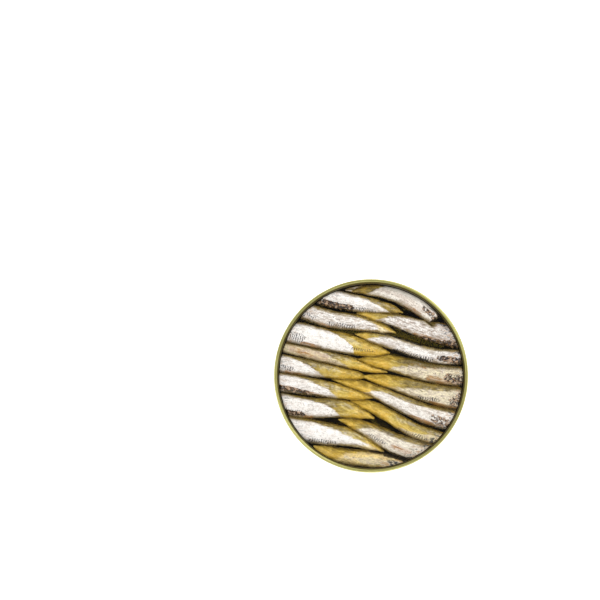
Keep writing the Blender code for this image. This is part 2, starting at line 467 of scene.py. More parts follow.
        # Painted highlights: pale glints on the folds and grain.
        glints = (grain * 0.4 + folds * 0.6).fade(0.49, 0.57, 0.0, 0.85)
        flank = lay(glints, flank, lay(warmth, self.pearl, self.glint_cream))
        flank = lay(hairs.fade(0.56, 0.66) * (dullness * 0.9 + 0.05), flank, self.crease)
        side = from_belly.joined("MINIMUM", from_back) + (folds - 0.5) * 4.0
        flank = lay(side.fade(0.0, 2.8, 0.75, 0.0), flank, self.shade)
        flank = lay(pink_here * spots.fade(0.35, 0.6, 0.3, 0.8), flank, self.pink)

        # The back: olive, gilt towards the tail, with a ragged edge and a dark line. Darker gold towards the back is
        # painted shade, paler gold on the folds is painted highlight, and the dark line is partly its own colour and
        # partly painted shade beside the fish above.
        green = lay((streaks * 0.5 + broad * 0.5).fade(0.38, 0.6), self.olive, self.olive_dark_and_shade)
        green = lay(folds.fade(0.5, 0.72, 0.0, 0.3), green, self.gold_glint)
        green = lay(grain.fade(0.54, 0.7, 0.0, 0.2), green, self.gold)
        low = (aside + (broad - 0.5) * 6.0).fade(1.6, -1.8)
        gilt = lay(low, self.gold_in_shade, self.gold)
        gilt = lay(folds.fade(0.42, 0.68, 0.0, 0.6), gilt, self.gold_glint)
        gilt = lay(streaks.fade(0.5, 0.72, 0.0, 0.45), gilt, self.olive_dark_and_shade)
        gilt = lay(grain.fade(0.58, 0.7, 0.0, 0.3), gilt, self.olive_dark_and_shade)
        ragged = (folds + streaks - 1.0) * 1.3
        skin = lay((olive_here + ragged).fade(0.15, 0.85), flank, lay(gold_here, green, gilt))
        band = from_back + ragged
        skin = lay(band.fade(0.3, 2.2, 0.85, 0.0), skin, green)
        skin = lay(band.fade(0.0, 1.1, 0.35, 0.0), skin, self.olive_dark_and_shade)

        # The belly edge: broken rust, brown, and scutes in uneven ticks.
        rusty = (rust_here + (folds - 0.5) * 3.0).fade(0.3, 0.9, 0.0, 0.8)
        rusty = rusty * (rust_here.fade(0.0, 0.3) * streaks.fade(0.38, 0.54, 0.25, 1.0))
        skin = lay(rusty, skin, self.rust)
        skin = lay(rusty * grain.fade(0.48, 0.6, 0.0, 0.7), skin, self.gut)
        # Brown patches are brown stains in some places and painted shade along a fish's back in others.
        skin = lay(brown_and_shade_here * spots.fade(0.35, 0.6, 0.35, 1.0), skin, self.olive_dark_and_shade)
        wave = along.joined("DIVIDE", self.tick_mm) + (broad + folds) * 2.0
        bars = (wave.joined("FRACT") - 0.5).joined("ABSOLUTE").fade(0.14, 0.32, 1.0, 0.0)
        ticked = bars * grain.fade(0.36, 0.5) * (ticks_here + (folds - 0.5) * 3.5).fade(0.35, 0.65)
        skin = lay(ticked * ticks_here.fade(0.0, 0.3), skin, self.tick)

        # The cut end's torn flesh, and the insides where the belly burst.
        skin = lay(end_here * folds.fade(0.52, 0.6), skin, self.tick)
        skin = lay(end_here * folds.fade(0.46, 0.4, 0.0, 0.5), skin, self.rust)
        innards = lay(blobs.fade(0.54, 0.62), self.gut, self.gut_pale)
        innards = lay(grain.fade(0.55, 0.65, 0.0, 0.7), innards, self.rust)
        burst = (gut_here + (blobs - 0.5) * 3.0).fade(0.3, 0.6)
        skin = lay(burst * gut_here.fade(0.0, 0.3), skin, innards)

        # Painted shade: darker beside the fish above, at the belly edge, near the wall, low down and in the painted
        # shadow patches, with a painted shadow line where a fish meets the one above.
        rough = (folds + spots - 1.0) * 2.0
        skin = lay((beside + rough).fade(0.0, 3.0, 0.5, 0.0) * weight, skin, self.olive_dark_and_shade)
        skin = lay((from_belly + rough).fade(0.0, 1.4, 0.35, 0.0) * deep, skin, self.olive_dark_and_shade)
        skin = lay(from_wall.fade(0.0, 1.4, 0.3, 0.0) * deep, skin, self.olive_dark_and_shade)
        gap = beside - (uneven + spots * 0.6) * 0.35
        skin = lay(gap.fade(-0.3, 0.1, 0.4, 0.0) * weight, skin, self.shadow_dark)
        place = add_node(tree, "ShaderNodeTexCoord").outputs["Object"]
        height = Amount(tree, add_node(tree, "ShaderNodeSeparateXYZ", links={0: place}).outputs[2])
        skin = lay(height.fade(16.8 * MM, 14.5 * MM, 0.0, 0.95) * deep, skin, self.shadow_dark)
        skin = lay((painted_shadow_here + rough).fade(0.3, 1.0, 0.0, 0.95), skin, self.shadow_dark)

        relief = broad * 1.2 + folds * 1.1 + grain * 0.55 + scales * 0.1
        bump = add_node(tree, "ShaderNodeBump", values={"Strength": 0.8, "Distance": 0.35 * MM},
                        links={"Height": relief.socket})
        gloss = grain.fade(0.35, 0.65, 0.2, 0.5)
        shader = add_node(tree, "ShaderNodeBsdfPrincipled",
                          values={"Metallic": 0.1, "Coat Weight": 0.7, "Coat Roughness": 0.08, "Coat IOR": 1.47},
                          links={"Base Color": skin, "Roughness": gloss.socket, "Normal": bump.outputs[0]})
        tree.links.new(shader.outputs[0], output.inputs["Surface"])
        return material


@dataclass(frozen=True)
class OliveOilLook:
    """Clear golden olive oil: IOR 1.47, taking blue from the light and a little green."""
    name: str = "olive_oil"
    tint: str = "FFF6D8"
    shadow_tint: str = "FFFAE6"
    absorbed: str = "DAD228"
    density: float = 80.0

    def make(self) -> bpy.types.Material:
        """Builds the material.

        Returns:
            The oil, which lets the lamps' light through.
        """
        material, tree, output = new_material(self.name)
        glass = add_node(tree, "ShaderNodeBsdfPrincipled",
                         values={"Base Color": linear(self.tint), "Roughness": 0.02, "IOR": 1.47,
                                 "Transmission Weight": 1.0})
        clear = add_node(tree, "ShaderNodeBsdfTransparent", values={"Color": linear(self.shadow_tint)})
        rays = add_node(tree, "ShaderNodeLightPath")
        surface = add_node(tree, "ShaderNodeMixShader",
                           links={0: rays.outputs["Is Shadow Ray"], 1: glass.outputs[0], 2: clear.outputs[0]})
        volume = add_node(tree, "ShaderNodeVolumeAbsorption",
                          values={"Color": linear(self.absorbed), "Density": self.density})
        tree.links.new(surface.outputs[0], output.inputs["Surface"])
        tree.links.new(volume.outputs[0], output.inputs["Volume"])
        return material


@dataclass(frozen=True)
class LightTable:
    """White opal acrylic lit from below, which leaves only a faint shadow under the tin."""
    name: str = "opal_light_table"
    white: str = "FFFFFF"
    glow: float = 0.5

    def make(self) -> bpy.types.Material:
        """Builds the material.

        Returns:
            The glowing white table.
        """
        material, tree, output = new_material(self.name)
        shader = add_node(tree, "ShaderNodeBsdfPrincipled",
                          values={"Base Color": linear(self.white), "Roughness": 0.9, "Specular IOR Level": 0.1,
                                  "Emission Color": linear(self.white), "Emission Strength": self.glow})
        tree.links.new(shader.outputs[0], output.inputs["Surface"])
        return material


# Tin

@dataclass
class TinBody:
    """The drawn body: wall, corner, foot ring and stepped base panel."""
    wall_radius: float = 50.2 * MM
    height: float = 25.0 * MM
    sheet: float = 0.5 * MM
    corner: float = 2.2 * MM
    foot: float = 1.6 * MM
    panel_lift: float = 1.0 * MM
    panel_slope: float = 1.2 * MM
    disc_radius: float = 31.0 * MM
    disc_drop: float = 0.4 * MM
    sides: int = 160

    def profile(self) -> list[tuple[float, float]]:
        """Draws its section.

        Returns:
            (radius, height) points from the middle of the base's inside, up the wall, over
            and down to the middle of its outside.
        """
        corner_r = self.wall_radius - self.corner
        foot_r = corner_r - self.foot
        panel_r = foot_r - self.panel_slope
        disc_z = self.panel_lift - self.disc_drop
        bend = 0.25 * MM
        inside = [(0.4 * self.disc_radius, disc_z + self.sheet), (self.disc_radius, disc_z + self.sheet)]
        inside += [(self.disc_radius + self.disc_drop, self.panel_lift + self.sheet)]
        inside += [(panel_r, self.panel_lift + self.sheet), (foot_r, self.sheet)]
        inside += round_over(corner_r, self.corner, self.corner - self.sheet, -90, 0, 8)
        inside += [(self.wall_radius - self.sheet, self.height - bend)]
        lip = [(self.wall_radius - self.sheet / 2, self.height)]
        outside = [(self.wall_radius, self.height - bend)]
        outside += [(self.wall_radius, self.height * 0.5)]
        outside += round_over(corner_r, self.corner, self.corner, 0, -90, 8)
        outside += [(foot_r + bend, 0.0), (foot_r, bend), (panel_r, self.panel_lift)]
        outside += [(self.disc_radius + self.disc_drop, self.panel_lift), (self.disc_radius, disc_z)]
        outside += [(0.4 * self.disc_radius, disc_z)]
        return inside + lip + outside

    def build(self, lacquer: bpy.types.Material) -> None:
        """Turns the body and dresses it.

        Args:
            lacquer: its finish.
        """
        piece = turn_on_axis("drawn_body", self.profile(), self.sides, False)
        lip = self.wall_radius - 0.6 * self.sheet
        # The inside of the base and wall is painted dark, as painted shade under the oil.
        mark_inner_side(piece, lambda co, normal: co.xy.length < lip and (
            normal.z > 0.3 or co.xy.dot(normal.xy) < -0.3 * co.xy.length))
        dress(piece, lacquer, "gold_lacquered_steel", "tin_body")


@dataclass
class LidRim:
    """What the lid leaves when it is pulled off: the double seam and its torn inner wall."""
    radius: float = 51.25 * MM
    top: float = 26.0 * MM
    skirt: float = 3.0 * MM
    skirt_thickness: float = 0.75 * MM
    crown: float = 0.8 * MM
    inner_wall: float = 0.5 * MM
    slot_inner: float = 49.4 * MM
    depth: float = 4.4 * MM
    torn_waver: float = 0.12 * MM
    foot_curl: float = 0.45 * MM
    crown_sheet: float = 0.7 * MM
    sides: int = 192

    def profile(self) -> list[tuple[float, float]]:
        """Draws its section.

        Returns:
            (radius, height) points from the seam's crown outwards and back up the inner wall.
        """
        crown_r = self.radius - self.crown
        crown_z = self.top - self.crown
        slot_outer = self.radius - self.skirt_thickness
        slot_top = self.top - self.crown_sheet
        foot = self.top - self.skirt
        torn = self.top - self.depth
        face = self.slot_inner - self.inner_wall
        points = round_over(crown_r, crown_z, self.crown, 90, 0, 8)
        points += round_over(self.radius - self.foot_curl, foot + self.foot_curl, self.foot_curl, 0, -70, 4)
        points += [(slot_outer, foot + 0.2 * MM), (slot_outer, slot_top), (self.slot_inner, slot_top)]
        points += [(self.slot_inner, torn + 0.1 * MM), (self.slot_inner - 0.1 * MM, torn)]
        points += [(face + 0.08 * MM, torn), (face, torn + 0.12 * MM), (face, crown_z - 1.0 * MM)]
        points += [(face + 0.12 * MM, crown_z - 0.55 * MM), (face + 0.42 * MM, crown_z - 0.15 * MM)]
        points += round_over(crown_r, crown_z, self.crown, 180, 90, 8)
        return points

    def build(self, lacquer: bpy.types.Material) -> None:
        """Turns the rim, wavers its torn edge and dresses it.

        Args:
            lacquer: its finish.
        """
        piece = turn_on_axis("seam_rim", self.profile(), self.sides, True)
        torn = self.top - self.depth
        for vert in piece.data.vertices:
            if vert.co.z < torn + 0.2 * MM and vert.co.xy.length < self.slot_inner + 0.05 * MM:
                angle = math.atan2(vert.co.y, vert.co.x)
                vert.co.z += self.torn_waver * (1 + noise.noise(Vector((math.cos(angle), math.sin(angle), 0.0)) * 9))
        # The torn inner wall is painted dark, as painted shade and a painted reflection of the fish.
        mark_inner_side(piece, lambda co, normal: co.xy.length < self.slot_inner + 0.1 * MM)
        dress(piece, lacquer, "gold_lacquered_rim", "lid_rim")


# Sardines

class Side(Enum):
    """The wall that a fish's cut end is against."""
    LEFT = "left"
    RIGHT = "right"


class Mark(Enum):
    """What a coloured place on a fish is."""
    TICKS = "ticks"
    RUST = "rust"
    GUT = "gut"
    PINK = "pink"
    # Brown stains, and in some places painted shade along a fish's back.
    BROWN = "brown"
    # Painted shadow, where the fish above or the wall leaves a dark gap.
    PAINTED_SHADOW = "hollow"


@dataclass(frozen=True)
class Patch:
    """A strip of colour on a fish.

    Its ends are (place along the fish, place across it), where across is 1 at the back and
    -1 at the belly; wide is half its width across.
    """
    mark: Mark
    begin: tuple[float, float]
    end: tuple[float, float]
    wide: float
    strength: float = 1.0

    def cover(self, t: np.ndarray, across: np.ndarray) -> np.ndarray:
        """How strongly it colours each place.

        Args:
            t: places along the fish.
            across: places across it.

        Returns:
            From 0 to its strength.
        """
        share = np.clip((t - self.begin[0]) / (self.end[0] - self.begin[0]), 0.0, 1.0)
        middle = self.begin[1] + (self.end[1] - self.begin[1]) * share
        past = np.maximum(np.maximum(self.begin[0] - t, t - self.end[0]), 0.0) / 0.05
        aside = np.abs(across - middle) / self.wide
        return self.strength * (1 - smooth(np.hypot(past, aside), 0.55, 1.15))


@dataclass
class Sardine:
    """One headless sardine, laid on its side with its back to +Y.

    Lengths are in millimetres, angles in degrees, and places along the fish run from 0 at
    its cut end to 1 at its tail. Its spine starts at the wall at cut_angle and ends at tail,
    with a bow to one side and an S-shaped sway. fullness says how far it keeps its width,
    lift how high its cut end lies and dip how far its tail sinks. begins is where a fish
    that is cut short of the wall starts.

    edge is the line on which the white of the flank ends and the olive of the back begins,
    in (along, across) points, soft its blur, and golden where the olive turns to gold. band
    is the width of the dark line down the back, partly its own colour and partly painted
    shade beside the fish above. dull and warm say how mottled and how creamy it is, and
    deep how strongly painted shade darkens its belly edge, its low parts and its end by the wall.
    """
    side: Side
    number: int
    cut_angle: float
    tail: tuple[float, float]
    bow: float
    sway: float
    width: float
    fullness: float
    lift: float
    dip: float
    begins: float = -0.3
    edge: tuple[tuple[float, float], ...] = ((0.6, 1.0), (0.8, -1.2))
    soft: float = 0.6
    golden: tuple[float, float] = (0.4, 0.75)
    band: float = 1.0
    dull: float = 0.2
    warm: float = 0.0
    deep: float = 1.0
    patches: tuple[Patch, ...] = ()

    @property
    def node(self) -> str:
        """The CAD node that it stands for."""
        return f"sardine_{self.side.value}_{self.number}"

    def spine(self, t: np.ndarray) -> tuple[np.ndarray, np.ndarray]:
        """Follows the spine.

        Args:
            t: places along.

        Returns:
            Points on it in plan, and the direction of the back at each.
        """
        angle = math.radians(self.cut_angle)
        cut = np.array((math.cos(angle), math.sin(angle))) * Packing.SPINE_START
        tail = np.array(self.tail)
        chord = tail - cut
        length = float(np.hypot(*chord))
        along = chord / length
        side = np.array((-along[1], along[0]))
        if side[1] < 0:
            side = -side
        inside = np.maximum(t, 0.0)
        bend = self.bow * 4 * inside * (1 - inside) + self.sway * np.sin(2 * np.pi * inside)
        slope = self.bow * 4 * (1 - 2 * inside) + self.sway * 2 * np.pi * np.cos(2 * np.pi * inside)
        bend = np.where(t < 0, slope * t, bend)
        centre = cut + chord * t[:, None] + side * bend[:, None]
        back = side - along * (slope / length)[:, None]
        return centre, back / np.hypot(back[:, 0], back[:, 1])[:, None]

    def half_width(self, t: np.ndarray) -> np.ndarray:
        """Half its width, drawn in to a point at the tail.

        Args:
            t: places along.

        Returns:
            Half widths in millimetres.
        """
        inside = np.clip(t, 0.0, 1.0)
        half = Packing.TAIL_HALF + (self.width / 2 - Packing.TAIL_HALF) * (
            1 - inside ** self.fullness) ** Packing.TAPER
        return half * (1 - 0.6 * smooth(inside, 0.86, 1.0))

    def crest(self, t: np.ndarray) -> np.ndarray:
        """Height of its flank along it."""
        return Packing.CUT_END_TOP + self.lift - self.dip * np.clip(t, 0.0, 1.0) ** Packing.DIP_POWER

    def surface(self, t: np.ndarray, angle: np.ndarray, out: np.ndarray) -> np.ndarray:
        """Places on the fish, or within it where out is under 1.

        Args:
            t: places along.
            angle: round the section, 0 at the back and a quarter turn at the top.
            out: share of the way from the middle of the section.

        Returns:
            Points in millimetres.
        """
        centre, back = self.spine(t)
        half = self.half_width(t) * out
        thick = half * Packing.PLUMP
        middle = self.crest(t) - self.half_width(t) * Packing.PLUMP
        power = 2 / Packing.SQUARE
        across = half * np.copysign(np.abs(np.cos(angle)) ** power, np.cos(angle))
        rise = thick * np.copysign(np.abs(np.sin(angle)) ** power, np.sin(angle))
        over = across * math.cos(Packing.ROLL) + rise * math.sin(Packing.ROLL)
        up = rise * math.cos(Packing.ROLL) - across * math.sin(Packing.ROLL)
        flat = centre + back * over[:, None]
        return np.column_stack((flat, middle + up))

    def start(self, angle: np.ndarray, out: np.ndarray) -> np.ndarray:
        """Where each line along the fish meets the wall, or the slanting cut short of it.

        Args:
            angle: round the section.
            out: share of the way from the middle of the section.

        Returns:
            Places along.
        """
        low = np.full(len(angle), -0.3)
        high = np.full(len(angle), 0.5)
        for _ in range(24):
            middle = (low + high) / 2
            point = self.surface(middle, angle, out)
            outside = np.hypot(point[:, 0], point[:, 1]) > Packing.REACH
            low = np.where(outside, middle, low)
            high = np.where(outside, high, middle)
        wall = np.where(high < 0.499, high, 0.0)
        return np.maximum(wall, self.begins - Packing.CUT_SLANT * np.cos(angle) * out)

    def cover(self, flat: np.ndarray) -> tuple[np.ndarray, np.ndarray, np.ndarray]:
        """How far points are outside its outline, and what is nearest to them there.

        Args:
            flat: points in plan, in millimetres.

        Returns:
            Distance outside the outline (less than 0 within it), the height of its surface
            or edge, and the place along it.
        """
        t = np.linspace(max(self.begins, -0.2), 1.0, 160)
        centre, back = self.spine(t)
        gap = ((flat[:, None, :] - centre[None, :, :]) ** 2).sum(axis=2)
        near = gap.argmin(axis=1)
        at = t[near]
        half = self.half_width(at)
        offset = flat - centre[near]
        across = (offset * back[near]).sum(axis=1)
        past = np.abs(offset[:, 0] * back[near][:, 1] - offset[:, 1] * back[near][:, 0])
        past = np.where((near == 0) | (near == len(t) - 1), past, 0.0)
        within = np.abs(across) - half
        outside = np.hypot(np.maximum(within, 0.0), past)
        distance = np.where(outside > 0, outside, within)
        share = np.clip(np.abs(across) / half, 0.0, 1.0)
        rise = half * Packing.PLUMP * (1 - share ** Packing.SQUARE) ** (1 / Packing.SQUARE)
        middle = self.crest(at) - half * Packing.PLUMP
        height = middle + rise * math.cos(Packing.ROLL) - np.clip(across, -half, half) * math.sin(Packing.ROLL)
        return distance, height, at

    def length(self) -> float:
        """Straight length from cut end to tail."""
        angle = math.radians(self.cut_angle)
        return math.dist((math.cos(angle) * Packing.SPINE_START, math.sin(angle) * Packing.SPINE_START), self.tail)


def smooth(value: np.ndarray, low: float, high: float) -> np.ndarray:
    """Eased step from 0 at low to 1 at high."""
    share = np.clip((value - low) / (high - low), 0.0, 1.0)
    return share * share * (3 - 2 * share)


LEFT, RIGHT = Side.LEFT, Side.RIGHT
TICKS, RUST, GUT, PINK, BROWN, PAINTED_SHADOW = Mark
ROW = (
    Sardine(RIGHT, 1, 32.8, (-9.5, 45.2), 6.4, -0.7, 11.0, 2.2, 0.0, 3.0, begins=0.13, soft=1.0, dull=0.18,
        warm=0.2, golden=(0.8, 1.2), band=0.5,
        edge=((0.7, 1.0), (0.77, 0.2), (0.83, -0.33), (0.95, -1.2)),
        patches=(Patch(RUST, (0.31, -0.85), (0.44, -0.75), 0.3, 0.8),
            Patch(GUT, (0.17, -0.3), (0.26, -0.1), 0.3, 0.6), Patch(GUT, (0.16, -0.7), (0.17, 0.5), 0.4, 0.7),
            Patch(PINK, (0.3, -0.3), (0.75, 0.0), 0.35, 0.25))),
    Sardine(RIGHT, 0, 66.0, (-13.5, 46.0), 1.0, 0.0, 6.0, 3.0, -1.4, 1.0, dull=0.6, band=0.6,
        edge=((1.3, 1.0), (1.4, -1.2)),
        patches=(Patch(BROWN, (0.1, 0.3), (0.95, 0.0), 0.35, 0.8),
            Patch(PINK, (0.0, 0.0), (0.6, 0.0), 1.0, 0.7))),
    Sardine(LEFT, 1, 119.5, (17.2, 33.8), 0.0, -0.6, 11.2, 1.3, 0.2, 3.6, soft=0.9, dull=0.22,
        golden=(0.9, 1.4),
        edge=((0.5, 1.0), (0.58, 0.3), (0.7, 0.0), (0.82, -0.6), (0.9, -1.3)),
        patches=(Patch(GUT, (-0.06, -0.7), (0.34, -0.72), 0.42),
            Patch(TICKS, (0.38, -0.7), (0.62, -0.8), 0.3, 0.8))),
    Sardine(RIGHT, 2, 25.9, (-7.5, 33.7), 0.3, -0.8, 13.8, 0.75, 0.1, 3.4, soft=1.3, dull=0.58,
        golden=(0.6, 0.85), band=0.9,
        edge=((0.5, 1.0), (0.66, 0.3), (0.76, -0.5), (0.86, -1.3)),
        patches=(Patch(RUST, (0.04, -0.7), (0.36, -0.8), 0.26, 0.9),
            Patch(GUT, (-0.02, -0.75), (0.3, -1.0), 0.34, 0.7),
            Patch(BROWN, (-0.02, -0.85), (0.4, -0.98), 0.2, 0.9), Patch(PAINTED_SHADOW, (0.42, -1.1), (0.72, -1.1), 0.3))),
    Sardine(LEFT, 2, 135.0, (13.5, 23.1), 0.1, -1.0, 9.8, 2.9, -0.1, 3.8, soft=0.8, dull=0.45,
        golden=(0.6, 0.85), band=1.4,
        edge=((0.45, 1.0), (0.65, 0.4), (0.79, 0.14), (0.92, -0.2), (1.0, -1.0)),
        patches=(Patch(TICKS, (0.3, -0.62), (0.52, -0.58), 0.3),
            Patch(RUST, (0.18, -0.92), (0.32, -0.95), 0.25, 0.7), Patch(BROWN, (0.0, -0.85), (0.12, -1.0), 0.22),
            Patch(TICKS, (0.0, -0.3), (0.1, -0.3), 0.5, 0.45))),
    Sardine(RIGHT, 3, 12.0, (-8.5, 22.5), -1.5, -1.3, 8.2, 4.0, 0.0, 3.0, soft=0.9, dull=0.25,
        golden=(0.6, 0.85), band=1.3,
        edge=((0.6, 1.0), (0.75, 0.4), (0.85, -0.2), (0.93, -1.2)),
        patches=(Patch(TICKS, (0.28, -0.6), (0.56, -0.85), 0.3, 1.3),
            Patch(PAINTED_SHADOW, (0.4, 1.15), (0.85, 1.15), 0.5), Patch(PAINTED_SHADOW, (0.32, -1.0), (0.6, -1.05), 0.3),
            Patch(GUT, (-0.02, -0.7), (0.18, -0.3), 0.5, 0.8))),
    Sardine(LEFT, 3, 151.0, (10.2, 12.4), 0.0, 0.0, 12.2, 3.3, 0.3, 5.2, soft=0.35, dull=0.08,
        golden=(0.3, 0.62),
        edge=((0.28, 1.1), (0.37, 0.82), (0.46, 0.55), (0.53, 0.3), (0.63, -0.16), (0.66, -0.9), (0.68, -1.5)),
        patches=(Patch(TICKS, (-0.02, -0.35), (0.11, -0.42), 0.4, 1.5),
            Patch(TICKS, (0.66, -0.36), (0.82, -0.3), 0.16, 1.3), Patch(RUST, (0.17, -0.85), (0.29, -0.9), 0.24))),
    Sardine(RIGHT, 4, 0.0, (-6.9, 9.1), 0.0, -0.9, 11.0, 3.2, -0.2, 4.6, soft=1.0, dull=0.4, warm=0.75,
        golden=(0.45, 0.75), band=1.5,
        edge=((-0.1, 1.0), (0.14, 0.8), (0.31, 0.42), (0.43, 0.25), (0.59, -0.1), (0.67, -0.5), (0.75, -1.3)),
        patches=(Patch(RUST, (0.14, -0.75), (0.3, -0.6), 0.4, 0.8),
            Patch(GUT, (-0.02, -0.6), (0.14, -0.35), 0.5, 0.75), Patch(BROWN, (0.1, 0.75), (0.6, 0.45), 0.3, 0.75),
            Patch(RUST, (0.2, 0.5), (0.5, 0.3), 0.25, 0.4))),
    Sardine(LEFT, 4, 161.0, (8.7, 2.1), 0.2, -0.2, 6.8, 5.5, -0.7, 3.4, soft=0.9, dull=0.45, warm=1.2,
        golden=(0.4, 0.7), band=0.8,
        edge=((0.2, 1.0), (0.38, 0.55), (0.48, 0.0), (0.6, -0.6), (0.7, -1.3)),
        patches=(Patch(RUST, (0.1, -0.1), (0.26, -0.45), 0.4, 0.6),
            Patch(PINK, (0.1, 0.0), (0.4, -0.2), 0.6, 0.5), Patch(BROWN, (0.5, 0.8), (0.66, 0.7), 0.35, 0.8))),
    Sardine(RIGHT, 5, -14.0, (-4.8, 0.1), -0.2, -0.6, 12.8, 1.3, -0.1, 4.8, soft=1.7, dull=0.3, warm=0.7,
        golden=(0.45, 0.75), band=0.65,
        edge=((-0.1, 0.6), (0.2, 0.35), (0.38, 0.12), (0.55, -0.3), (0.72, -0.85), (0.85, -1.3)),
        patches=(Patch(TICKS, (0.25, -0.55), (0.38, -0.75), 0.22),
            Patch(TICKS, (0.0, -0.65), (0.07, -0.5), 0.22), Patch(RUST, (0.05, -0.95), (0.27, -0.9), 0.22, 0.9),
            Patch(GUT, (-0.02, 0.2), (0.08, -0.4), 0.6, 0.5))),
    Sardine(LEFT, 5, 171.5, (-1.4, -0.4), -0.2, 0.0, 10.2, 1.6, 0.1, 5.4, soft=0.9, golden=(0.3, 0.7),
        band=1.2,
        edge=((0.0, 1.0), (0.14, 0.66), (0.34, 0.14), (0.52, -0.85), (0.58, -1.4)),
        patches=(Patch(TICKS, (0.02, -0.45), (0.14, -0.48), 0.26),
            Patch(RUST, (0.12, -0.85), (0.28, -1.0), 0.24))),
    Sardine(RIGHT, 6, -28.5, (-21.0, -1.5), 0.4, -1.4, 12.2, 1.0, 0.0, 5.4, soft=0.8, dull=0.28, warm=0.1,
        golden=(0.35, 0.7), band=1.5,
        edge=((-0.1, 0.65), (0.2, 0.55), (0.42, 0.36), (0.6, 0.3), (0.67, -0.3), (0.74, -1.0), (0.8, -1.5)),
        patches=(Patch(GUT, (-0.02, -0.6), (0.14, -0.3), 0.5, 0.55),
            Patch(RUST, (0.16, -0.92), (0.3, -0.95), 0.34), Patch(BROWN, (0.28, -1.0), (0.55, -1.0), 0.22, 0.7))),
    Sardine(LEFT, 6, 183.0, (1.5, -11.3), 0.0, 0.0, 10.6, 1.9, 0.1, 5.0, soft=1.2, golden=(0.45, 0.65),
        band=0.8,
        edge=((0.05, 1.1), (0.2, 0.75), (0.38, 0.4), (0.52, 0.0), (0.64, -0.9), (0.7, -1.3)),
        patches=(Patch(GUT, (0.0, -0.6), (0.3, -0.72), 0.24, 0.85),
            Patch(RUST, (0.12, -0.5), (0.42, -0.8), 0.2), Patch(BROWN, (0.1, -0.75), (0.5, -1.0), 0.2))),
    Sardine(RIGHT, 7, -42.5, (-11.0, -12.8), 0.2, -1.3, 8.4, 3.0, -1.1, 4.0, soft=1.0, warm=1.0,
        golden=(-0.2, 0.3), band=0.7,
        edge=((0.0, 0.3), (0.16, 0.0), (0.39, -0.58), (0.5, -1.3)),
        patches=(Patch(TICKS, (0.15, -0.5), (0.4, -0.8), 0.3, 0.8),
            Patch(BROWN, (0.02, 0.6), (0.5, 0.7), 0.35, 0.5))),
    Sardine(LEFT, 7, 197.0, (1.7, -22.4), 1.6, -1.3, 11.6, 2.9, 0.3, 4.4, soft=1.0, golden=(0.35, 0.85),
        edge=((0.0, 0.9), (0.26, 0.72), (0.42, 0.4), (0.52, 0.0), (0.62, -0.75), (0.68, -1.3)),
        patches=(Patch(GUT, (0.03, -0.66), (0.22, -0.74), 0.22, 0.9),
            Patch(RUST, (0.22, -0.7), (0.31, -0.9), 0.24), Patch(TICKS, (0.0, -0.6), (0.2, -0.6), 0.3, 0.7))),
    Sardine(RIGHT, 8, -52.5, (-17.4, -22.8), -1.4, -1.4, 14.2, 1.0, -0.1, 4.0, soft=1.1, dull=0.3, warm=0.4,
        golden=(0.6, 0.9), band=1.6,
        edge=((-0.05, 0.2), (0.2, 0.42), (0.38, 0.5), (0.58, 0.45), (0.68, 0.1), (0.76, -0.5), (0.85, -1.3)),
        patches=(Patch(PINK, (0.2, -0.36), (0.34, -0.32), 0.24, 0.6),
            Patch(RUST, (0.22, -0.4), (0.33, -0.34), 0.2, 0.6), Patch(TICKS, (0.48, -0.48), (0.6, -0.55), 0.24),
            Patch(PAINTED_SHADOW, (-0.2, -1.0), (0.34, -1.05), 0.26), Patch(BROWN, (0.05, 0.85), (0.6, 0.8), 0.3, 0.35))),
    Sardine(LEFT, 8, 213.0, (6.9, -40.0), 2.0, -1.0, 14.0, 1.4, 0.2, 4.2, soft=1.3, dull=0.1,
        golden=(0.35, 0.7), band=1.2,
        edge=((-0.05, 0.6), (0.22, 0.7), (0.42, 0.5), (0.65, 0.0), (0.86, -0.25), (1.0, -0.6)),
        patches=(Patch(TICKS, (0.24, -0.72), (0.44, -0.72), 0.19),)),
    Sardine(RIGHT, 9, -72.5, (-30.6, -37.0), -1.1, 0.8, 9.6, 4.0, -2.1, 1.2, soft=2.2, golden=(-0.6, -0.3),
        band=0.8, dull=0.35, warm=1.0, deep=0.25,
        edge=((-0.2, 1.3), (0.4, 0.8), (0.62, 0.2), (0.8, -1.3)),
        patches=(Patch(BROWN, (0.2, 0.95), (0.75, 1.0), 0.4),
            Patch(PAINTED_SHADOW, (-0.2, 0.7), (0.34, 1.1), 0.45, 1.3))),
)


